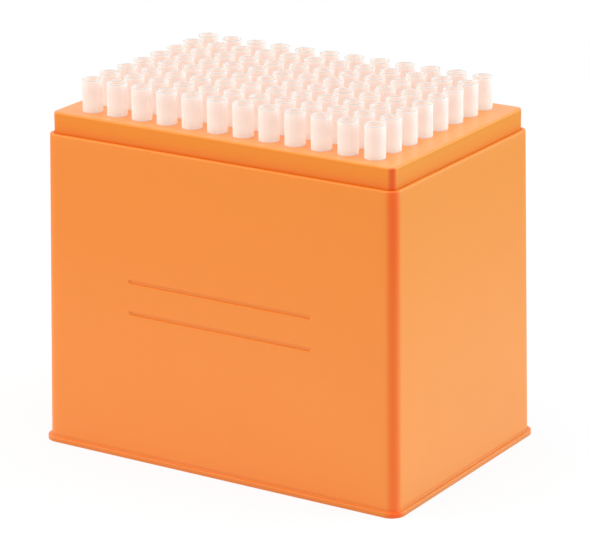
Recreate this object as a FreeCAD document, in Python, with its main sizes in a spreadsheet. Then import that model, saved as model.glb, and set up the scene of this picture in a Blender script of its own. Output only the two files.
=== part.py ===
# Box of ninety-six pipette tips: a moulded box base on the standard plate footprint, a rack that
# drops into its mouth and stands a step above its rim, and twelve columns of eight hollow tips
# that hang from the rack's deck. Millimetres, +Z up, origin at the middle of the underside.
import FreeCAD
import Part
import Sketcher
import math
import os

SIZES = {
    # tips
    "pitch": 9.0,              # centre to centre, both ways
    "tip_columns": 12,         # along X
    "tip_rows": 8,             # along Y
    "tip_length": 100,
    "collar_height": 10.1,     # the collar stands this far above the deck
    "shoulder": 0.5,           # ledge under the collar, which sits on the deck
    "collar_wall": 0.5,        # round the straight bore that grips the pipette's nose
    "mouth_lead": 0.2,         # bevel that leads the nose in
    "neck_height": 2.85,       # deck to the bottom of the straight bore
    "shank_bore": 4.3,         # inside the tip, level with the deck
    "shank_wall": 0.45,
    "nose_height": 38,         # point to the waist, where the taper steepens
    "waist_bore": 2.7,
    "waist_wall": 0.4,
    "orifice": 0.7,            # bore at the point
    "point_wall": 0.4,
    # rack
    "rack_clearance": 0.2,     # gap between the rack and the box wall at the rim
    "rack_step": 6.6,          # deck above the rim
    "rack_depth": 22,          # deck to the bottom of the skirt
    "skirt_wall": 1.2,
    "deck_thickness": 2.0,
    "deck_round": 0.6,         # rounding round the deck's edge
    "hole_clearance": 0.1,     # gap between a tip's shank and its hole in the deck
    "web_depth": 5.0,          # lattice of stiffening webs under the deck
    "web_thickness": 0.9,
    # box base
    "end_margin": 14.38,       # flange edge to the first column of tips, as on the standard plate
    "side_margin": 11.24,      # flange edge to the first row of tips
    "point_clearance": 13.0,   # floor to the points of the tips
    "flange_height": 1.6,      # the foot flange that nests in a deck position
    "foot_inset": 1.13,        # flange edge to the outside of the wall, at the foot
    "rim_inset": 2.69,         # flange edge to the outside of the wall, at the rim
    "wall": 1.2,               # box wall
    "corner_radius": 3.4,      # outside of the box's upright corners
    "least_corner": 0.2,       # smallest corner that the mould makes
    "floor_thickness": 1.6,
    "floor_recess": 0.6,       # how far the floor is raised above the standing ring
    "foot_ring": 2.6,          # width of the ring that the box stands on
    "edge_round": 0.4,         # rounding of the flange and the rim
    # seat ribs inside the box, which carry the rack
    "rib_thickness": 1.4,
    "rib_reach": 0.5,          # how far a rib reaches in past the rack's skirt
    "long_rib_steps": 3,       # ribs on the long walls, in tip pitches from the middle
    "short_rib_steps": 2,      # ribs on the short walls, in tip pitches from the middle
    # recessed writing lines on the long front wall
    "line_length": 65.3,
    "line_width": 1.3,
    "line_depth": 0.45,
    "line_round": 0.5,         # corners of a line's outline
    "line_shift": 1.0,         # middle of the lines to the right of the middle of the wall
    "line_height": 46.6,       # height of the lowest line
    "line_spacing": 9.9,
    "line_count": 2,
}

# Sizes that follow from the ones above, as expressions on the sheet
BOX_LENGTH = "((Sizes.tip_columns - 1) * Sizes.pitch + 2 * Sizes.end_margin)"
BOX_WIDTH = "((Sizes.tip_rows - 1) * Sizes.pitch + 2 * Sizes.side_margin)"
FLOOR_TOP = "(Sizes.floor_recess + Sizes.floor_thickness)"
DECK_TOP = "(" + FLOOR_TOP + " + Sizes.point_clearance + Sizes.tip_length - Sizes.collar_height)"
RIM = "(" + DECK_TOP + " - Sizes.rack_step)"
DRAFT = "atan((Sizes.rim_inset - Sizes.foot_inset) / " + RIM + ")"
SEAT_HEIGHT = "(" + DECK_TOP + " - Sizes.rack_depth)"
RACK_INSET = "(Sizes.rim_inset + Sizes.wall + Sizes.rack_clearance)"
INNER_CORNER = "max(Sizes.corner_radius - Sizes.wall; Sizes.least_corner)"
RACK_CORNER = "max(Sizes.corner_radius - Sizes.wall - Sizes.rack_clearance; Sizes.least_corner)"
FIRST_COLUMN = "(-(Sizes.tip_columns - 1) / 2 * Sizes.pitch)"
FIRST_ROW = "(-(Sizes.tip_rows - 1) / 2 * Sizes.pitch)"
MOUTH_TOP = "(" + DECK_TOP + " + Sizes.collar_height)"
POINT = "(" + MOUTH_TOP + " - Sizes.tip_length)"
SHANK_RADIUS = "(Sizes.shank_bore / 2 + Sizes.shank_wall)"
COLLAR_RADIUS = "(" + SHANK_RADIUS + " + Sizes.shoulder)"
MOUTH_RADIUS = "(" + COLLAR_RADIUS + " - Sizes.collar_wall)"

FULL_TURN = 360
CLOSE = 0.01  # how near an edge must lie to where it is looked for

doc = FreeCAD.newDocument("TipBox")
sheet = doc.addObject("Spreadsheet::Sheet", "Sizes")
for number, (alias, value) in enumerate(SIZES.items(), 1):
    sheet.set("A" + str(number), str(value))
    sheet.setAlias("A" + str(number), alias)
doc.recompute()


def inset(size, amount):
    """An expression for a side drawn in by an amount at both ends."""
    return "(" + size + " - 2 * " + amount + ")"


def limited(radius, *walls):
    """A rounding's radius, held to half of the thinnest of the walls that it is on."""
    return "min(" + "; ".join(["Sizes." + radius] + ["Sizes." + wall + " / 2" for wall in walls]) + ")"


def wall_inset(height):
    """How far the wall's outside stands in from the flange edge at a height, as an expression."""
    return "(Sizes.foot_inset + " + height + " * tan(" + DRAFT + "))"


def number_of(expression):
    """What an expression on the sheet comes to, as a plain number."""
    return float(sheet.evalExpression(expression + " * 1"))


def new_body(label):
    body = doc.addObject("PartDesign::Body", label)
    body.Label = label
    return body


def origin_part(body, role):
    """One of a body's own origin planes or axes."""
    return [part for part in body.Origin.OriginFeatures if part.Role == role][0]


def new_sketch(body, name, plane, offset=("0", "0", "0")):
    """A sketch on one of the body's origin planes, moved along that plane's own x, y and normal."""
    sketch = body.newObject("Sketcher::SketchObject", name)
    sketch.AttachmentSupport = [(origin_part(body, plane), "")]
    sketch.MapMode = "FlatFace"
    for axis, expression in zip("xyz", offset):
        sketch.setExpression("AttachmentOffset.Base." + axis, expression)
    return sketch


def bind(sketch, kind, elements, expression):
    """Adds a dimension to a sketch and ties it to the sheet."""
    index = sketch.addConstraint(Sketcher.Constraint(kind, *elements, number_of(expression)))
    sketch.setExpression("Constraints[" + str(index) + "]", expression)


def draw_rectangle(sketch, length, width, radius=None):
    """A rectangle centred on the sketch's origin, with round corners if a radius is given."""
    half_x = number_of(length) / 2
    half_y = number_of(width) / 2
    corner = number_of(radius) if radius else 0
    ends = [
        ((-half_x + corner, -half_y), (half_x - corner, -half_y)),
        ((half_x, -half_y + corner), (half_x, half_y - corner)),
        ((half_x - corner, half_y), (-half_x + corner, half_y)),
        ((-half_x, half_y - corner), (-half_x, -half_y + corner)),
    ]
    for start, end in ends:
        sketch.addGeometry(Part.LineSegment(FreeCAD.Vector(*start, 0), FreeCAD.Vector(*end, 0)))
    centres = [
        (half_x - corner, -half_y + corner),
        (half_x - corner, half_y - corner),
        (-half_x + corner, half_y - corner),
        (-half_x + corner, -half_y + corner),
    ]
    right_angle = math.pi / 2
    for side in range(4):
        after = (side + 1) % 4
        if radius:
            circle = Part.Circle(FreeCAD.Vector(*centres[side], 0), FreeCAD.Vector(0, 0, 1), corner)
            start = (side - 1) * right_angle
            arc = sketch.addGeometry(Part.ArcOfCircle(circle, start, start + right_angle))
            sketch.addConstraint(Sketcher.Constraint("Tangent", side, 2, arc, 1))
            sketch.addConstraint(Sketcher.Constraint("Tangent", arc, 2, after, 1))
            if side:
                sketch.addConstraint(Sketcher.Constraint("Equal", 4, arc))
        else:
            sketch.addConstraint(Sketcher.Constraint("Coincident", side, 2, after, 1))
        sketch.addConstraint(Sketcher.Constraint(("Horizontal", "Vertical")[side % 2], side))
    sketch.addConstraint(Sketcher.Constraint("Symmetric", 0, 1, 2, 1, -1, 1))
    bind(sketch, "DistanceX", (3, 1, 1, 1), length)
    bind(sketch, "DistanceY", (0, 1, 2, 1), width)
    if radius:
        bind(sketch, "Radius", (4,), radius)


def draw_polygon(sketch, corners):
    """A closed outline whose corners are pairs of expressions, both measured from the origin."""
    points = [FreeCAD.Vector(number_of(x), number_of(y), 0) for x, y in corners]
    for index, point in enumerate(points):
        after = points[(index + 1) % len(points)]
        sketch.addGeometry(Part.LineSegment(point, after))
    for index, (x, y) in enumerate(corners):
        before = (index - 1) % len(corners)
        sketch.addConstraint(Sketcher.Constraint("Coincident", before, 2, index, 1))
        bind(sketch, "DistanceX", (-1, 1, index, 1), x)
        bind(sketch, "DistanceY", (-1, 1, index, 1), y)


def volume(body):
    doc.recompute()
    return body.Shape.Volume


def extrude(body, kind, sketch, length, reverse=False, taper=None, both_ways=False):
    """A Pad or a Pocket of a sketch, which must add or remove material."""
    before = volume(body) if body.Shape.Solids else 0
    feature = body.newObject("PartDesign::" + kind, sketch.Name + "_" + kind.lower())
    feature.Profile = sketch
    feature.Reversed = reverse
    feature.setExpression("Length", length)
    if both_ways:
        feature.SideType = "Symmetric"
    if taper:
        feature.setExpression("TaperAngle", taper)
    grown = volume(body) - before
    if (grown > 0) != (kind == "Pad"):
        raise ValueError(feature.Name + " points the wrong way")
    return feature


def round_edges(body, name, radius, chosen):
    """Rounds the edges of the body that pass a test."""
    doc.recompute()
    base = body.Tip
    names = ["Edge" + str(n) for n, edge in enumerate(base.Shape.Edges, 1) if chosen(edge)]
    fillet = body.newObject("PartDesign::Fillet", name)
    fillet.Base = (base, names)
    fillet.setExpression("Radius", radius)
    return fillet


def row_of(body, name, axis, step, count):
    """A straight row: how often, how far apart and along which axis something is repeated."""
    pattern = body.newObject("PartDesign::LinearPattern", name)
    pattern.Direction = axis
    pattern.Mode = "Spacing"
    pattern.setExpression("Offset", step)
    pattern.setExpression("Occurrences", count)
    return pattern


def repeat_in_line(body, feature, axis, step, count):
    pattern = row_of(body, feature.Name + "_row", axis, step, count)
    pattern.Originals = [feature]
    body.Tip = pattern
    doc.recompute()


def repeat_in_grid(body, feature, columns, rows):
    """Repeats a feature in a row of rows, each given as an axis, a step and a count."""
    grid = body.newObject("PartDesign::MultiTransform", feature.Name + "_grid")
    grid.Originals = [feature]
    grid.Transformations = [
        row_of(body, feature.Name + "_columns", *columns),
        row_of(body, feature.Name + "_rows", *rows),
    ]
    body.Tip = grid
    doc.recompute()


def repeat_half_turn(body, feature):
    """Repeats a feature half a turn round the box's upright middle axis."""
    pattern = body.newObject("PartDesign::PolarPattern", feature.Name + "_pair")
    pattern.Originals = [feature]
    pattern.Axis = (origin_part(body, "Z_Axis"), [""])
    pattern.Angle = FULL_TURN
    pattern.Occurrences = 2
    body.Tip = pattern
    doc.recompute()


def is_upright(edge):
    """Whether an edge climbs more than half of the box wall's height."""
    return edge.BoundBox.ZLength > number_of(RIM) / 2


def reach(edge):
    """How far an edge goes out from the middle of the box along X and along Y."""
    box = edge.BoundBox
    return max(abs(box.XMin), abs(box.XMax)), max(abs(box.YMin), abs(box.YMax))


def is_outline(edge, height, amount):
    """Whether an edge is on a level outline, drawn in by an amount from the edge of the flange."""
    box = edge.BoundBox
    if box.ZLength > CLOSE or abs(box.ZMin - number_of(height)) > CLOSE:
        return False
    reach_x, reach_y = reach(edge)
    half_x = number_of(inset(BOX_LENGTH, amount)) / 2
    half_y = number_of(inset(BOX_WIDTH, amount)) / 2
    return abs(reach_x - half_x) < CLOSE or abs(reach_y - half_y) < CLOSE


def make_box_base():
    """Drafted walls with round corners on a floor and a foot flange, with ribs that seat the rack."""
    body = new_body("box_base")

    walls = new_sketch(body, "wall_foot", "XY_Plane")
    draw_rectangle(walls, inset(BOX_LENGTH, "Sizes.foot_inset"), inset(BOX_WIDTH, "Sizes.foot_inset"))
    extrude(body, "Pad", walls, RIM, taper="-" + DRAFT)
    round_edges(body, "outer_corners", "Sizes.corner_radius", is_upright)

    mouth = new_sketch(body, "mouth", "XY_Plane", ("0", "0", RIM))
    inner = "(Sizes.rim_inset + Sizes.wall)"
    draw_rectangle(mouth, inset(BOX_LENGTH, inner), inset(BOX_WIDTH, inner))
    extrude(body, "Pocket", mouth, RIM + " - " + FLOOR_TOP, taper=DRAFT)
    inside = "(" + wall_inset(FLOOR_TOP) + " + Sizes.wall)"
    inside_x = number_of(inset(BOX_LENGTH, inside)) / 2 + CLOSE
    inside_y = number_of(inset(BOX_WIDTH, inside)) / 2 + CLOSE

    def is_inner_corner(edge):
        reach_x, reach_y = reach(edge)
        return is_upright(edge) and reach_x < inside_x and reach_y < inside_y

    round_edges(body, "inner_corners", INNER_CORNER, is_inner_corner)

    flange = new_sketch(body, "flange", "XY_Plane")
    draw_rectangle(flange, BOX_LENGTH, BOX_WIDTH, "Sizes.corner_radius + Sizes.foot_inset")
    extrude(body, "Pad", flange, "Sizes.flange_height")

    recess = new_sketch(body, "floor_recess", "XY_Plane")
    recess_length = inset(BOX_LENGTH, "Sizes.foot_ring")
    draw_rectangle(recess, recess_length, inset(BOX_WIDTH, "Sizes.foot_ring"), "Sizes.corner_radius")
    extrude(body, "Pocket", recess, "Sizes.floor_recess", reverse=True)

    for side, plane, across, steps in (
        ("long", "YZ_Plane", BOX_WIDTH, "Sizes.long_rib_steps"),
        ("short", "XZ_Plane", BOX_LENGTH, "Sizes.short_rib_steps"),
    ):
        for hand, sign in (("left", "-"), ("right", "")):
            make_seat_rib(body, side + "_rib_" + hand, plane, across, sign + steps + " * Sizes.pitch")

    make_writing_lines(body)
    round_edges(
        body,
        "edge_rounding",
        limited("edge_round", "wall", "flange_height"),
        lambda edge: is_outline(edge, "Sizes.flange_height", "0") or is_outline(edge, RIM, "Sizes.rim_inset"),
    )
    return body


def make_seat_rib(body, name, plane, across, along):
    """A rib up the inside of a wall, and its twin half a turn away. The rack's skirt rests on its top."""
    sketch = new_sketch(body, name, plane, ("0", "0", along))
    half = across + " / 2 - "
    foot = "(" + FLOOR_TOP + " - Sizes.floor_thickness / 2)"
    inner_edge = half + "(" + RACK_INSET + " + Sizes.skirt_wall + Sizes.rib_reach)"
    draw_polygon(
        sketch,
        [
            (inner_edge, foot),
            (half + wall_inset(foot) + " - Sizes.wall / 2", foot),
            (half + wall_inset(SEAT_HEIGHT) + " - Sizes.wall / 2", SEAT_HEIGHT),
            (inner_edge, SEAT_HEIGHT),
        ],
    )
    rib = extrude(body, "Pad", sketch, "Sizes.rib_thickness", both_ways=True)
    repeat_half_turn(body, rib)


def make_writing_lines(body):
    """Shallow straight recesses in the drafted front wall, one above the other."""
    face = BOX_WIDTH + " / 2 - " + wall_inset("Sizes.line_height")
    sketch = new_sketch(body, "writing_line", "XZ_Plane", ("Sizes.line_shift", "Sizes.line_height", face))
    lean = FreeCAD.Rotation(FreeCAD.Vector(-1, 0, 0), number_of(DRAFT))
    sketch.AttachmentOffset = FreeCAD.Placement(sketch.AttachmentOffset.Base, lean)
    sketch.setExpression("AttachmentOffset.Rotation.Angle", DRAFT)
    draw_rectangle(sketch, "Sizes.line_length", "Sizes.line_width", limited("line_round", "line_width"))
    groove = extrude(body, "Pocket", sketch, "Sizes.line_depth")
    repeat_in_line(body, groove, (sketch, ["V_Axis"]), "Sizes.line_spacing", "Sizes.line_count")


def make_tip_rack():
    """A deck with a skirt below it, a lattice of webs under the deck and a hole for each tip."""
    body = new_body("tip_rack")
    within = "(" + RACK_INSET + " + Sizes.skirt_wall)"
    inner_length = inset(BOX_LENGTH, within)
    inner_width = inset(BOX_WIDTH, within)
    under_deck = DECK_TOP + " - Sizes.deck_thickness"
    along_x = (origin_part(body, "X_Axis"), [""])
    along_y = (origin_part(body, "Y_Axis"), [""])

    skirt = new_sketch(body, "skirt", "XY_Plane", ("0", "0", SEAT_HEIGHT))
    draw_rectangle(skirt, inset(BOX_LENGTH, RACK_INSET), inset(BOX_WIDTH, RACK_INSET), RACK_CORNER)
    extrude(body, "Pad", skirt, "Sizes.rack_depth")

    hollow = new_sketch(body, "hollow", "XY_Plane", ("0", "0", SEAT_HEIGHT))
    hollow_corner = "max(" + RACK_CORNER + " - Sizes.skirt_wall; Sizes.least_corner)"
    draw_rectangle(hollow, inner_length, inner_width, hollow_corner)
    extrude(body, "Pocket", hollow, "Sizes.rack_depth - Sizes.deck_thickness", reverse=True)

    row_web = new_sketch(body, "row_web", "XY_Plane", ("0", FIRST_ROW + " + Sizes.pitch / 2", under_deck))
    draw_rectangle(row_web, inner_length, "Sizes.web_thickness")
    web = extrude(body, "Pad", row_web, "Sizes.web_depth", reverse=True)
    repeat_in_line(body, web, along_y, "Sizes.pitch", "Sizes.tip_rows - 1")

    first_gap = FIRST_COLUMN + " + Sizes.pitch / 2"
    column_web = new_sketch(body, "column_web", "XY_Plane", (first_gap, "0", under_deck))
    draw_rectangle(column_web, "Sizes.web_thickness", inner_width)
    web = extrude(body, "Pad", column_web, "Sizes.web_depth", reverse=True)
    repeat_in_line(body, web, along_x, "Sizes.pitch", "Sizes.tip_columns - 1")

    hole = new_sketch(body, "tip_hole", "XY_Plane", (FIRST_COLUMN, FIRST_ROW, DECK_TOP))
    radius = SHANK_RADIUS + " + Sizes.hole_clearance"
    hole.addGeometry(Part.Circle(FreeCAD.Vector(), FreeCAD.Vector(0, 0, 1), number_of(radius)))
    hole.addConstraint(Sketcher.Constraint("Coincident", 0, 3, -1, 1))
    bind(hole, "Radius", (0,), radius)
    drilled = extrude(body, "Pocket", hole, "Sizes.deck_thickness")
    columns = (along_x, "Sizes.pitch", "Sizes.tip_columns")
    rows = (along_y, "Sizes.pitch", "Sizes.tip_rows")
    repeat_in_grid(body, drilled, columns, rows)

    round_edges(
        body,
        "deck_rounding",
        limited("deck_round", "deck_thickness", "skirt_wall"),
        lambda edge: is_outline(edge, DECK_TOP, RACK_INSET),
    )
    return body


def make_tip_column(column):
    """Eight hollow tapered tips in a line along Y, standing on the deck by the shoulder of each collar."""
    body = new_body("tips_column_" + str(column + 1).zfill(2))
    body.AllowCompound = True
    sketch = new_sketch(body, body.Label + "_profile", "XZ_Plane")
    lead = limited("mouth_lead", "collar_wall")
    waist = POINT + " + Sizes.nose_height"
    outside = [
        (MOUTH_RADIUS + " + " + lead, MOUTH_TOP),
        (COLLAR_RADIUS, MOUTH_TOP),
        (COLLAR_RADIUS, DECK_TOP),
        (SHANK_RADIUS, DECK_TOP),
        ("Sizes.waist_bore / 2 + Sizes.waist_wall", waist),
        ("Sizes.orifice / 2 + Sizes.point_wall", POINT),
    ]
    bore = [
        ("Sizes.orifice / 2", POINT),
        ("Sizes.waist_bore / 2", waist),
        ("Sizes.shank_bore / 2", DECK_TOP),
        (MOUTH_RADIUS, DECK_TOP + " + Sizes.neck_height"),
        (MOUTH_RADIUS, MOUTH_TOP + " - " + lead),
    ]
    draw_polygon(sketch, outside + bore)
    tip = body.newObject("PartDesign::Revolution", body.Label + "_tip")
    tip.Profile = sketch
    tip.ReferenceAxis = (sketch, ["V_Axis"])
    tip.Angle = FULL_TURN
    along_y = (origin_part(body, "Y_Axis"), [""])
    repeat_in_line(body, tip, along_y, "Sizes.pitch", "Sizes.tip_rows")
    body.setExpression("Placement.Base.x", FIRST_COLUMN + " + " + str(column) + " * Sizes.pitch")
    body.setExpression("Placement.Base.y", FIRST_ROW)
    return body


def check(bodies, count):
    """Stops if any object failed, or a body isn't the number of valid solids it should be."""
    doc.recompute()
    for thing in doc.Objects:
        if "Invalid" in thing.State or "Error" in thing.State:
            raise ValueError(thing.Label + " failed: " + str(thing.State))
    for body in bodies:
        shape = body.Shape
        if shape.isNull() or not shape.isValid() or len(shape.Solids) != count[body.Label]:
            raise ValueError(body.Label + " is not made of sound solids")


tip_rows = int(number_of("Sizes.tip_rows"))
tip_columns = int(number_of("Sizes.tip_columns"))
nodes = [make_box_base(), make_tip_rack()]
solids = {"box_base": 1, "tip_rack": 1}
for column in range(tip_columns):
    nodes.append(make_tip_column(column))
    solids[nodes[-1].Label] = tip_rows
check(nodes, solids)

os.makedirs("parts", exist_ok=True)
for node in nodes:
    node.Shape.exportStep("parts/" + node.Label + ".step")
    print(node.Label, len(node.Shape.Solids), round(node.Shape.Volume, 1), node.Shape.BoundBox)
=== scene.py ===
"""Studio picture of a box of pipette tips: an orange moulded base, its rack and ninety-six milky tips.

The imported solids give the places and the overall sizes. The small sizes below are those that the
solids are made to, apart from a few roundings and slopes that only these surfaces have. New pieces
are surfaces worked out on a grid of two parameters. Lengths are in metres.
"""

import math

import bpy
import numpy as np
from mathutils import Matrix, Vector


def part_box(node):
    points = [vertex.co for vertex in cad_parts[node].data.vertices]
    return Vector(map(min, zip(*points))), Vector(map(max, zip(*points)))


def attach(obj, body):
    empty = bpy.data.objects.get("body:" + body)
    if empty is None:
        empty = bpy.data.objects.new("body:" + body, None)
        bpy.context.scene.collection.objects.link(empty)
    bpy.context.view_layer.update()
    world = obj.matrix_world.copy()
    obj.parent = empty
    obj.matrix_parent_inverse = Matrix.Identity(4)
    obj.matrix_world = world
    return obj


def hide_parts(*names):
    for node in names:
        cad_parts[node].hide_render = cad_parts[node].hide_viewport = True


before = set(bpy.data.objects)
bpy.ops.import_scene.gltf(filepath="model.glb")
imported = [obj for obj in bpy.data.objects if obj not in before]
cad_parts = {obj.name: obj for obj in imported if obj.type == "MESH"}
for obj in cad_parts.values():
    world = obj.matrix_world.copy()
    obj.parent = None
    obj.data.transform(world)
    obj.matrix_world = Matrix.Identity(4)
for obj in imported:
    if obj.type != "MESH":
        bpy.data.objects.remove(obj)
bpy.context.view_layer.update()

MM = 0.001
BODY = "root"
SHARP = math.radians(35)  # an edge that turns more than this stays crisp

# what the solids say: the flange, the rim, the deck and the tops of the tips
flange_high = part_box("box_base")[1]
rack_low, rack_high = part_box("tip_rack")
HALF_LENGTH = flange_high.x
HALF_WIDTH = flange_high.y
RIM = flange_high.z
DECK = rack_high.z
SEAT = rack_low.z
RACK_INSET = HALF_LENGTH - rack_high.x
TIP_COLUMNS = sorted(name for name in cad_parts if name.startswith("tips_column"))
TIP_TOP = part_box(TIP_COLUMNS[0])[1].z

# the grid of tips
ROWS = 8
PITCH = 9 * MM

# the base's own sizes, insets measured from the flange's edge
FLANGE = 1.6 * MM
FOOT_INSET = 1.13 * MM
RIM_INSET = 2.69 * MM
WALL = 1.2 * MM
OUTER_CORNER = 3.4 * MM
EDGE_ROUND = 0.4 * MM
FOOT_RING = 2.6 * MM
FLOOR_RECESS = 0.6 * MM
FLOOR_TOP = 2.2 * MM

# roundings of the base that the solids don't have: at the sole's outer edge, the rim's inner edge,
# the flange's heel, both edges of the standing ring and where the floor meets the walls inside
SOLE_ROUND = 0.15 * MM
LIP_ROUND = 0.12 * MM
HEEL = 0.3 * MM
RING_FILLET = 0.05 * MM
RING_BEVEL = 0.1 * MM
FLOOR_FILLET = 0.8 * MM

# how far the flat faces below and on the floor lie in from the ring and from the walls
RING_BORDER = 0.6 * MM
FLOOR_BORDER = 1.2 * MM

# how far from a wall's middle its columns of points reach, on the long and on the short walls
LONG_STRETCH = 57 * MM
SHORT_STRETCH = 36 * MM

# the ribs that carry the rack; each stands so many tip pitches to either side of the middle
RIB_THICKNESS = 1.4 * MM
RIB_SINK = 0.8 * MM
SKIRT_WALL = 1.2 * MM
RIB_REACH = 0.5 * MM
LONG_WALL_STEPS = 3
SHORT_WALL_STEPS = 2

# the rack's corners, and the top of its rounded edge, over which its look turns into the deck's
RACK_CORNER = 2.0 * MM
DECK_BAND = 0.3 * MM

# writing lines on the front wall; their slope and their run-out are only in these surfaces
LINE_HEIGHTS = (46.6 * MM, 56.5 * MM)
LINE_MIDDLE = 1.0 * MM
LINE_HALF_LENGTH = 65.3 / 2 * MM
LINE_HALF_WIDTH = 1.3 / 2 * MM
LINE_CORNER = 0.5 * MM
LINE_DEPTH = 0.45 * MM
LINE_SLOPE = 0.22 * MM
LINE_RUN_OUT = 1.0 * MM

# a tip's own sizes: at its mouth, where it passes the deck, at its waist and at its point
COLLAR_WALL = 0.5 * MM
LEDGE = 0.5 * MM
MOUTH_FLOOR = 2.85 * MM
SHANK_WALL = 0.45 * MM
WAIST_HEIGHT = 38 * MM
WAIST_RADIUS = 1.75 * MM
POINT_RADIUS = 0.75 * MM
LOWER_WALL = 0.4 * MM


# ---------------------------------------------------------------- meshes

def grid_faces(rows, columns, closed_rows=False, closed_columns=False):
    """Corner numbers of the quads of a grid of points, row after row, wrapped round where closed."""
    row = np.arange(rows if closed_rows else rows - 1)
    column = np.arange(columns if closed_columns else columns - 1)
    row, column = np.meshgrid(row, column, indexing="ij")
    next_row = (row + 1) % rows
    next_column = (column + 1) % columns
    corners = (row * columns + column, row * columns + next_column,
               next_row * columns + next_column, next_row * columns + column)
    return np.stack(corners, -1).reshape(-1, 4)


def make_piece(name, points, faces, finish, replaces):
    """A smooth-shaded mesh that rides on the body, stands for CAD nodes and wears a finish."""
    mesh = bpy.data.meshes.new(name)
    mesh.from_pydata(points.reshape(-1, 3), [], faces)
    mesh.validate()
    mesh.polygons.foreach_set("use_smooth", np.ones(len(mesh.polygons), bool))
    mesh.set_sharp_from_angle(angle=SHARP)
    mesh.materials.append(finish)
    piece = bpy.data.objects.new(name, mesh)
    bpy.context.scene.collection.objects.link(piece)
    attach(piece, BODY)
    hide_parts(*replaces)
    return piece


def quarter(centre_inset, centre_height, radius, start, end, steps=4):
    """Points (inset, height) on an arc, from one angle to another in degrees. Inset grows inwards."""
    turn = np.radians(np.linspace(start, end, steps + 1))
    return [(centre_inset - radius * math.cos(t), centre_height + radius * math.sin(t)) for t in turn]


def corner_arc(steps=10):
    """Directions from a corner's centre over a quarter turn, as cosines and sines."""
    turn = np.linspace(0, math.pi / 2, steps + 1)
    return np.cos(turn), np.sin(turn)


def carry_round(insets, heights, radii, along_x, along_y):
    """A profile carried round the box. Loop i is a rectangle drawn in by insets[i] with round
    corners of radii[i] at heights[i]; on its straight sides the points keep the same x or y."""
    insets, heights, radii = (np.asarray(values, float)[:, None] for values in (insets, heights, radii))
    half_x = HALF_LENGTH - insets
    half_y = HALF_WIDTH - insets
    cosines, sines = corner_arc()
    xs = np.broadcast_to(along_x, (len(insets), len(along_x)))
    ys = np.broadcast_to(along_y, (len(insets), len(along_y)))
    centre_x = half_x - radii
    centre_y = half_y - radii
    front = (xs, -half_y + 0 * xs)
    front_right = (centre_x + radii * sines, -centre_y - radii * cosines)
    right = (half_x + 0 * ys, ys)
    back_right = (centre_x + radii * cosines, centre_y + radii * sines)
    back = (-xs, half_y + 0 * xs)
    back_left = (-centre_x - radii * sines, centre_y + radii * cosines)
    left = (-half_x + 0 * ys, -ys)
    front_left = (-centre_x - radii * cosines, -centre_y - radii * sines)
    parts = (front, front_right, right, back_right, back, back_left, left, front_left)
    x = np.concatenate([part[0] for part in parts], 1)
    y = np.concatenate([part[1] for part in parts], 1)
    return np.stack([x, y, heights + 0 * x], -1)


def smooth_step(low, high, values):
    """0 below low, 1 above high, and a smooth cubic between."""
    t = np.clip((values - low) / (high - low), 0, 1)
    return t * t * (3 - 2 * t)


def line_depth(x, z):
    """How deep the writing lines are at a place on the front wall: the full depth inside a
    rectangle with round corners, falling to nothing over a short slope at its edge and a longer one
    at its two ends."""
    depth = np.zeros_like(x)
    for height in LINE_HEIGHTS:
        out_x = np.abs(x - LINE_MIDDLE) - LINE_HALF_LENGTH + LINE_CORNER
        out_z = np.abs(z - height) - LINE_HALF_WIDTH + LINE_CORNER
        outside = np.hypot(np.maximum(out_x, 0), np.maximum(out_z, 0))
        edge = outside + np.minimum(np.maximum(out_x, out_z), 0) - LINE_CORNER
        depth = np.maximum(depth, LINE_DEPTH * smooth_step(0, LINE_SLOPE, -edge))
    return depth * smooth_step(0, LINE_RUN_OUT, LINE_HALF_LENGTH - np.abs(x - LINE_MIDDLE))


def wall_inset(z):
    """How far the outside of the drafted wall stands in at a height: it grows evenly from the foot
    to the rim."""
    return FOOT_INSET + (RIM_INSET - FOOT_INSET) * z / RIM


def wall_levels():
    """Heights of the wall's loops: evenly spread, with more of them over each writing line."""
    even = np.linspace(FLANGE + HEEL, RIM - EDGE_ROUND, 24)
    off_middle = (0, 0.2, 0.36, 0.43, 0.5, 0.57, 0.65, 0.8, 1.4)
    over_lines = [height + side * off * MM
                  for height in LINE_HEIGHTS for side in (-1, 1) for off in off_middle]
    return sorted(set(even) | set(over_lines))


def front_columns():
    """Places along the front wall: evenly spread, with more of them where the writing lines run
    out."""
    even = np.linspace(-LONG_STRETCH, LONG_STRETCH, 31)
    shares = (-0.1, 0, 0.12, 0.25, 0.4, 0.55, 0.7, 0.85, 1, 1.2)
    at_ends = [LINE_MIDDLE + side * (LINE_HALF_LENGTH - share * LINE_RUN_OUT)
               for side in (-1, 1) for share in shares]
    return np.array(sorted(set(even) | set(at_ends)))


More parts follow.
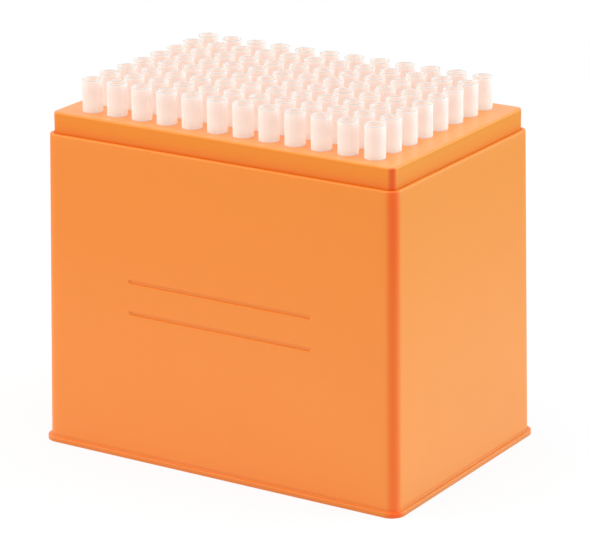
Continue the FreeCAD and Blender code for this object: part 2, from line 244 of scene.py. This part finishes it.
def make_base(finish):
    """The box base as one closed surface: a profile carried round the box, and a flat face that
    closes it below and one that is the middle of the floor. The profile starts inside the standing
    ring and goes out over it and the flange, up the drafted wall, over the rim and down the inside
    to the floor. The writing lines push the front wall in. Ribs inside carry the rack."""
    profile = [(FOOT_RING + RING_BORDER, FLOOR_RECESS), (FOOT_RING + RING_FILLET, FLOOR_RECESS),
               (FOOT_RING, FLOOR_RECESS - RING_FILLET), (FOOT_RING, RING_BEVEL),
               (FOOT_RING - RING_BEVEL, 0)]
    ring_end = len(profile)
    profile += quarter(SOLE_ROUND, SOLE_ROUND, SOLE_ROUND, -90, 0, 3)
    profile += quarter(EDGE_ROUND, FLANGE - EDGE_ROUND, EDGE_ROUND, 0, 90)
    # the heel: a small hollow curve from the flange up into the wall
    heel_inset = wall_inset(FLANGE + HEEL)
    profile += [(FOOT_INSET - HEEL, FLANGE), (heel_inset - HEEL * 0.35, FLANGE + HEEL * 0.12),
                (heel_inset - HEEL * 0.1, FLANGE + HEEL * 0.4)]
    wall_start = len(profile)
    profile += [(wall_inset(z), z) for z in wall_levels()]
    wall_end = len(profile)
    profile += quarter(RIM_INSET + EDGE_ROUND, RIM - EDGE_ROUND, EDGE_ROUND, 0, 90)[1:]
    profile += quarter(RIM_INSET + WALL - LIP_ROUND, RIM - LIP_ROUND, LIP_ROUND, 90, 180, 3)
    inner_levels = np.linspace(RIM - MM, FLOOR_TOP + FLOOR_FILLET, 12)
    profile += [(wall_inset(z) + WALL, z) for z in inner_levels]
    foot_inner = wall_inset(FLOOR_TOP) + WALL
    profile += quarter(foot_inner + FLOOR_FILLET, FLOOR_TOP + FLOOR_FILLET, FLOOR_FILLET, 0, -90)[1:]
    profile += [(foot_inner + FLOOR_BORDER, FLOOR_TOP)]

    insets, heights = np.array(profile).T
    number = np.arange(len(profile))
    flange_corner = OUTER_CORNER + FOOT_INSET
    ring_radii = OUTER_CORNER + FOOT_RING - insets
    inner_radii = OUTER_CORNER + wall_inset(heights) - insets
    radii = np.where(insets < FOOT_INSET, flange_corner - insets, OUTER_CORNER)
    radii = np.where(number < ring_end, ring_radii, radii)
    radii = np.where(number >= wall_end, inner_radii, radii)

    along_x = front_columns()
    along_y = np.linspace(-SHORT_STRETCH, SHORT_STRETCH, 19)
    points = carry_round(insets, heights, radii, along_x, along_y)
    wall = slice(wall_start, wall_end)
    front = slice(0, len(along_x))
    points[wall, front, 1] += line_depth(points[wall, front, 0], points[wall, front, 2])

    loops, columns = points.shape[:2]
    faces = grid_faces(loops, columns, closed_columns=True).tolist()
    faces.append(list(range(columns))[::-1])
    faces.append([(loops - 1) * columns + column for column in range(columns)])
    points = points.reshape(-1, 3)
    for rib_points, rib_faces in seat_ribs():
        faces += (rib_faces + len(points)).tolist()
        points = np.concatenate([points, rib_points])
    return make_piece("moulded_base", points, faces, finish, ["box_base"])


def seat_ribs():
    """Eight upright ribs, two on each wall. Each is a box whose back leans with the wall and lies
    inside it, and comes as its eight corners and its six faces."""
    reach = RACK_INSET + SKIRT_WALL + RIB_REACH
    faces = np.array([(0, 1, 3, 2), (4, 6, 7, 5), (0, 4, 5, 1),
                      (1, 5, 7, 3), (3, 7, 6, 2), (2, 6, 4, 0)])
    walls = ((HALF_WIDTH, LONG_WALL_STEPS, True), (HALF_LENGTH, SHORT_WALL_STEPS, False))
    for half, steps, long_wall in walls:
        for side in (-1, 1):
            for along in (-steps * PITCH, steps * PITCH):
                corners = []
                for z in (FLOOR_TOP - RIB_SINK, SEAT):
                    for out in (half - wall_inset(z) - WALL / 2, half - reach):
                        for across in (along - RIB_THICKNESS / 2, along + RIB_THICKNESS / 2):
                            place = (across, side * out) if long_wall else (side * out, across)
                            corners.append((*place, z))
                turned = (side > 0) == long_wall
                yield np.array(corners), faces[:, ::-1] if turned else faces


def make_tips(column_node, finish):
    """A column of hollow tips. The profile, radius against height, goes up the outside and down the
    bore, with the edges of the collar a little rounded, and turns round each tip's axis; eight such
    turns stand a pitch apart along Y."""
    low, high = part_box(column_node)
    middle_x = (low.x + high.x) / 2
    top, point = high.z, low.z
    collar = (high.x - low.x) / 2
    mouth = collar - COLLAR_WALL
    shank = collar - LEDGE
    waist = point + WAIST_HEIGHT
    profile = np.array([
        (POINT_RADIUS - LOWER_WALL, point), (POINT_RADIUS - 0.05 * MM, point),
        (POINT_RADIUS, point + 0.1 * MM), (WAIST_RADIUS, waist), (shank, DECK),
        (collar - 0.08 * MM, DECK), (collar, DECK + 0.08 * MM),
        (collar, top - 0.12 * MM), (collar - 0.04 * MM, top - 0.035 * MM), (collar - 0.12 * MM, top),
        (mouth + 0.2 * MM, top), (mouth + 0.05 * MM, top - 0.08 * MM), (mouth, top - 0.2 * MM),
        (mouth, DECK + MOUTH_FLOOR), (shank - SHANK_WALL, DECK), (WAIST_RADIUS - LOWER_WALL, waist),
    ])
    turns = np.linspace(0, 2 * math.pi, 32, endpoint=False)
    rows = (np.arange(ROWS) - (ROWS - 1) / 2) * PITCH
    radius, height = profile[None, :, 0], profile[None, :, 1]
    x = middle_x + radius * np.cos(turns)[:, None]
    y = radius * np.sin(turns)[:, None]
    one = np.stack([x, y, height + 0 * x], -1)
    points = one[None] + np.stack([0 * rows, rows, 0 * rows], -1)[:, None, None]
    each = grid_faces(len(turns), len(profile), closed_rows=True, closed_columns=True)
    faces = (np.arange(ROWS)[:, None, None] * one.shape[0] * one.shape[1] + each).reshape(-1, 4)
    name = column_node.replace("tips_column", "hanging_tips")
    return make_piece(name, points, faces.tolist(), finish, [column_node])


# ---------------------------------------------------------------- finishes

class Wire:
    """A number that varies over a surface. Its operators add Math nodes to the material."""

    def __init__(self, nodes, socket):
        self.nodes = nodes
        self.socket = socket

    def math(self, operation, *values):
        return self.nodes.add("ShaderNodeMath", {"operation": operation}, dict(enumerate(values)))

    def __add__(self, other):
        return self.math("ADD", self, other)

    def __radd__(self, other):
        return self.math("ADD", other, self)

    def __sub__(self, other):
        return self.math("SUBTRACT", self, other)

    def __rsub__(self, other):
        return self.math("SUBTRACT", other, self)

    def __mul__(self, other):
        return self.math("MULTIPLY", self, other)

    def __rmul__(self, other):
        return self.math("MULTIPLY", other, self)

    def __truediv__(self, other):
        return self.math("DIVIDE", self, other)

    def size(self):
        return self.math("ABSOLUTE", self)

    def root(self):
        return self.math("SQRT", self)

    def at_least(self, other):
        return self.math("MAXIMUM", self, other)

    def at_most(self, other):
        return self.math("MINIMUM", self, other)

    def ramp(self, low, high):
        """0 at low, 1 at high, smooth between and held outside."""
        sockets = {"Value": self, "From Min": low, "From Max": high}
        return self.nodes.add("ShaderNodeMapRange", {"interpolation_type": "SMOOTHSTEP"}, sockets)


class Nodes:
    """The node tree of a material or of the world."""

    def __init__(self, owner):
        owner.use_nodes = True
        self.tree = owner.node_tree
        self.tree.nodes.clear()

    def add(self, kind, settings, sockets, output=0):
        """Adds a node: its settings first, then a value or a wire for each named socket."""
        made = self.tree.nodes.new(kind)
        for name, value in settings.items():
            setattr(made, name, value)
        for name, value in sockets.items():
            if isinstance(value, Wire):
                self.tree.links.new(value.socket, made.inputs[name])
            else:
                made.inputs[name].default_value = value
        return Wire(self, made.outputs[output]) if made.outputs else None

    def sight(self):
        """Three numbers: 1 where the eye looks straight at this, sees it mirrored in something
        glossy or sees it through something clear, and 0 otherwise."""
        return [self.add("ShaderNodeLightPath", {}, {}, "Is " + kind + " Ray")
                for kind in ("Camera", "Glossy", "Transmission")]


class Finish(Nodes):
    """A material being put together, with the place on the surface as x, y and z in metres."""

    def __init__(self, name):
        self.material = bpy.data.materials.new(name)
        super().__init__(self.material)
        self.place = self.add("ShaderNodeTexCoord", {}, {}, "Object")
        self.x, self.y, self.z = (
            self.add("ShaderNodeSeparateXYZ", {}, {"Vector": self.place}, axis) for axis in "XYZ")

    def noise(self, scale, detail=2, stretch=(1, 1, 1)):
        """A cloudy value about 0.5. A stretch below 1 draws the clouds out along that axis."""
        place = self.add("ShaderNodeMapping", {}, {"Vector": self.place, "Scale": stretch})
        sockets = {"Vector": place, "Scale": scale, "Detail": detail}
        return self.add("ShaderNodeTexNoise", {}, sockets, "Fac")

    def blend(self, factor, first, second):
        """A colour between two, by a factor from 0 to 1."""
        sockets = {0: factor, 6: first, 7: second}
        return self.add("ShaderNodeMix", {"data_type": "RGBA"}, sockets, 2)

    def bump(self, height, distance):
        return self.add("ShaderNodeBump", {}, {"Height": height, "Distance": distance})

    def wear(self, **sockets):
        """Ends the material in a Principled surface with these sockets."""
        named = {name.replace("_", " "): value for name, value in sockets.items()}
        self.end_in(self.add("ShaderNodeBsdfPrincipled", {}, named))
        return self.material

    def end_in(self, surface):
        self.add("ShaderNodeOutputMaterial", {}, {"Surface": surface})


def srgb(red, green, blue):
    """A colour given as it looks on a screen, 0 to 255, as the linear colour that a shader takes."""
    shares = [channel / 255 for channel in (red, green, blue)]
    linear = [c / 12.92 if c <= 0.04045 else ((c + 0.055) / 1.055) ** 2.4 for c in shares]
    return (*linear, 1)


POLYPROPYLENE_IOR = 1.49


def orange_plastic(name, half_x, half_y, corner, lean, shade_bands, face, pale, shade, corner_shade):
    """Moulded orange polypropylene, with a faint cloudiness, flow marks and the fine grain of the
    mould. Its face turns to pale low down, painted light where light comes up from the floor, and to
    a painted shade in bands: each band is a strength, a height where the painted shade is fullest
    and one where it has faded out. The upright corners turn to a painted corner shade, more so near
    the rim and above all at the front-right corner and the one opposite it. They are found from the
    box's half sizes at its foot, its corners' radius and the share of its height by which its walls
    lean in. A coat gives the deck a soft sheen."""
    finish = Finish(name)
    inset = finish.z * lean
    turn_x = (finish.x.size() + inset - (half_x - corner)) / corner
    turn_y = (finish.y.size() + inset - (half_y - corner)) / corner
    # painted shade: the upright corners are painted darker and redder, most near the rim and at the
    # front-right corner and the one opposite it
    most_shaded_corners = (finish.x * finish.y).ramp(0, -half_x * half_y / 2)
    elsewhere = 0.15
    depth = turn_x.at_least(0).at_most(1) * turn_y.at_least(0).at_most(1)
    depth = depth * (1.5 + 0.5 * finish.z.ramp(RIM / 2, RIM))
    depth = depth * (elsewhere + (1 - elsewhere) * most_shaded_corners)
    cloud = finish.noise(60, 3) - 0.5
    flow = finish.noise(140, 4, (1, 1, 0.16)) - 0.5
    cloud_and_painted_shade = cloud * 0.1 + flow * 0.06
    # painted shade: each band darkens the colour towards shade low on the wall; the cloud and flow
    # marks are the plastic's own tone
    for strength, fullest, faded in shade_bands:
        cloud_and_painted_shade = cloud_and_painted_shade + strength * (1 - finish.z.ramp(fullest, faded))
    colour = finish.blend(1 - finish.z.ramp(0, RIM), face, pale)
    colour = finish.blend(cloud_and_painted_shade.at_least(0).at_most(1), colour, shade)
    grain = finish.noise(5200, 2)
    sink = finish.noise(90, 1)
    return finish.wear(
        Base_Color=finish.blend(depth.at_most(1), colour, corner_shade),
        Roughness=0.33 + cloud * 0.1 + grain * 0.06,
        IOR=POLYPROPYLENE_IOR,
        Specular_IOR_Level=0.5,
        Coat_Weight=finish.z.ramp(DECK - DECK_BAND, DECK) * 0.7,
        Coat_Roughness=0.3,
        Coat_IOR=POLYPROPYLENE_IOR,
        Normal=finish.bump(grain * 0.25 + sink, 0.04 * MM),
    )


def milky_plastic(name, lip, body, foot):
    """Natural polypropylene: milky, so that light soaks through the thin walls, a little clear,
    painted darker and cooler at the lip, a painted shade, and warmer below it, painted orange light
    bounced from the deck. Each of the three places has the colour of its skin and that of a painted
    glow, an emission that stands in for light bouncing about inside the walls."""
    finish = Finish(name)
    streak = finish.noise(900, 2, (1, 1, 0.05)) - 0.5
    batch = finish.noise(70, 1) - 0.5
    # painted light: over this height above the deck the tips turn from the foot colours, with a
    # brighter painted glow, to the body colours
    deck_light_height = 7 * MM
    lip_height = 0.5 * MM
    at_foot = 1 - finish.z.ramp(DECK, DECK + deck_light_height)
    at_foot = (at_foot + streak * 0.25 + batch * 0.2).at_least(0).at_most(1)
    # painted shade: the top of the lip is painted darker and cooler
    at_lip = finish.z.ramp(TIP_TOP - lip_height, TIP_TOP)
    # painted light: the second colour of each place is a painted glow, given out as emission
    skin, painted_glow = (finish.blend(at_lip, finish.blend(at_foot, body[layer], foot[layer]), lip[layer])
                  for layer in (0, 1))
    return finish.wear(
        Base_Color=skin,
        Roughness=0.6 + streak * 0.1,
        IOR=POLYPROPYLENE_IOR,
        Specular_IOR_Level=0.15,
        Subsurface_Weight=1.0,
        Subsurface_Scale=3 * MM,
        Subsurface_Radius=(1.0, 0.95, 0.9),
        Transmission_Weight=0.1,
        Emission_Color=painted_glow,
        Emission_Strength=0.32,
        Normal=finish.bump(streak, 0.02 * MM),
    )


# ---------------------------------------------------------------- the object

# painted shade and light: the flange band and the upright corners are painted darker, and the paler
# face low down is painted floor light
base_plastic = orange_plastic(
    "orange_base_plastic", HALF_LENGTH - FOOT_INSET, HALF_WIDTH - FOOT_INSET, OUTER_CORNER,
    lean=(RIM_INSET - FOOT_INSET) / RIM, shade_bands=[(0.45, 1.5 * MM, 3 * MM)],
    face=srgb(244, 138, 41), pale=srgb(245, 140, 53), shade=srgb(218, 112, 24), corner_shade=srgb(252, 97, 2))
# painted shade: the rack's side is painted darker towards its foot by the rim, and its corners darker
# and redder
rack_plastic = orange_plastic(
    "orange_rack_plastic", rack_high.x, rack_high.y, RACK_CORNER,
    lean=0.0, shade_bands=[(0.15, RIM, RIM + 3 * MM), (0.17, RIM, DECK - DECK_BAND)],
    face=srgb(243, 138, 25), pale=srgb(243, 138, 25), shade=srgb(238, 90, 2), corner_shade=srgb(244, 88, 2))
# the lip colours are a painted shade, the body and foot colours carry painted orange light from the
# deck, and each second colour is a painted glow
tip_plastic = milky_plastic(
    "milky_tip_plastic",
    lip=(srgb(150, 147, 144), srgb(200, 194, 190)),
    body=(srgb(194, 174, 165), srgb(246, 221, 209)),
    foot=(srgb(197, 182, 173), srgb(252, 244, 234)))

make_base(base_plastic)
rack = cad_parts["tip_rack"]
rack.data.materials.clear()
rack.data.materials.append(rack_plastic)
for column_node in TIP_COLUMNS:
    make_tips(column_node, tip_plastic)


# ---------------------------------------------------------------- the studio

SEE_THROUGH = 0.4  # how white the studio is where it is seen through the tips
SHADE_KEPT = 0.12  # how much of its own shade the floor shows close to the box
MIRROR_FADE = 0.8  # how much darker the floor gets where it is seen mirrored


def direction(azimuth, elevation):
    """The way out from the box, in degrees round from the front and up from the floor."""
    a, e = math.radians(azimuth), math.radians(elevation)
    return Vector((math.sin(a) * math.cos(e), -math.cos(a) * math.cos(e), math.sin(e)))


def make_floor():
    """A wide pale floor, white to the eye, that keeps the shadow close round the box. Mirrored in
    the walls it darkens away from the box, so that their sheen is strongest low down, and to the
    right of the front, the side that has no lamp."""
    half = 12.0
    near = 0.12
    far = 0.5
    side_reach = 0.1
    corners = [(-half, -half, 0), (half, -half, 0), (half, half, 0), (-half, half, 0)]
    mesh = bpy.data.meshes.new("studio_floor")
    mesh.from_pydata(corners, [], [(0, 1, 2, 3)])
    floor = bpy.data.objects.new("studio_floor", mesh)
    bpy.context.scene.collection.objects.link(floor)
    finish = Finish("pale_floor")
    away = (finish.x * finish.x + finish.y * finish.y).root().ramp(near, far)
    straight, mirrored, through = finish.sight()
    seen = (straight + through * SEE_THROUGH) * (1 - SHADE_KEPT + away * SHADE_KEPT)
    whiteness = (seen + mirrored).at_most(1)
    paint = finish.add("ShaderNodeBsdfDiffuse", {}, {"Color": (0.82, 0.82, 0.82, 1)})
    white = finish.add("ShaderNodeEmission", {}, {"Color": (1, 1, 1, 1), "Strength": 1.0})
    lit = finish.add("ShaderNodeMixShader", {}, {0: whiteness, 1: paint, 2: white})
    unlit_side = finish.x.ramp(0, side_reach) * finish.y.ramp(0, -side_reach)
    fade = mirrored * (away * MIRROR_FADE).at_least(unlit_side * MIRROR_FADE)
    finish.end_in(finish.add("ShaderNodeMixShader", {}, {0: fade, 1: lit}))
    mesh.materials.append(finish.material)


def softbox(name, azimuth, elevation, size, power, colour=(1, 1, 1)):
    """A square lamp of a colour, hidden from the eye, that faces the box from a direction."""
    light = bpy.data.lights.new(name, "AREA")
    light.size = size
    light.energy = power
    light.color = colour
    lamp = bpy.data.objects.new(name, light)
    bpy.context.scene.collection.objects.link(lamp)
    middle_of_box = Vector((0, 0, 0.06))
    distance = 1.3
    out = direction(azimuth, elevation)
    lamp.location = middle_of_box + out * distance
    lamp.rotation_euler = out.to_track_quat("Z", "Y").to_euler()
    lamp.visible_camera = False


def light_world(strength):
    """Plain air of one strength all round, which looks white."""
    world = bpy.data.worlds.new("studio_air")
    bpy.context.scene.world = world
    nodes = Nodes(world)
    straight, mirrored, through = nodes.sight()
    whiteness = (straight + mirrored + through * SEE_THROUGH).at_most(1)
    air = nodes.add("ShaderNodeBackground", {}, {"Strength": strength + whiteness * (1 - strength)})
    nodes.add("ShaderNodeOutputWorld", {}, {"Surface": air})


def place_camera():
    """A long lens, a little above the box and to the right of its front, rolled a hair and moved a
    touch to the right and down."""
    azimuth, elevation, roll = 32.288, 18.092, math.radians(-0.356)
    distance = 1.004742
    to_right = 0.001907
    down = 0.00051
    aim = Vector((0, 0, 0.055))
    back = direction(azimuth, elevation)
    right = Vector((math.cos(math.radians(azimuth)), math.sin(math.radians(azimuth)), 0))
    up = back.cross(right)
    right, up = (right * math.cos(roll) + up * math.sin(roll),
                 up * math.cos(roll) - right * math.sin(roll))
    camera = bpy.data.objects.new("camera", bpy.data.cameras.new("camera"))
    camera.data.sensor_width = 36
    camera.data.lens = 200.156
    bpy.context.scene.collection.objects.link(camera)
    place = aim + right * to_right - up * down + back * distance
    turned = Matrix((right, up, back)).transposed().to_4x4()
    camera.matrix_world = Matrix.Translation(place) @ turned
    bpy.context.scene.camera = camera


make_floor()
softbox("softbox_left", azimuth=-58, elevation=25, size=1.2, power=8.2)
softbox("softbox_right", azimuth=122, elevation=16, size=1.2, power=10.5, colour=(0.68, 1.25, 1.5))
softbox("softbox_above", azimuth=32, elevation=88, size=1.0, power=11.3)
light_world(0.68)
place_camera()
bpy.context.scene.view_settings.view_transform = "Standard"
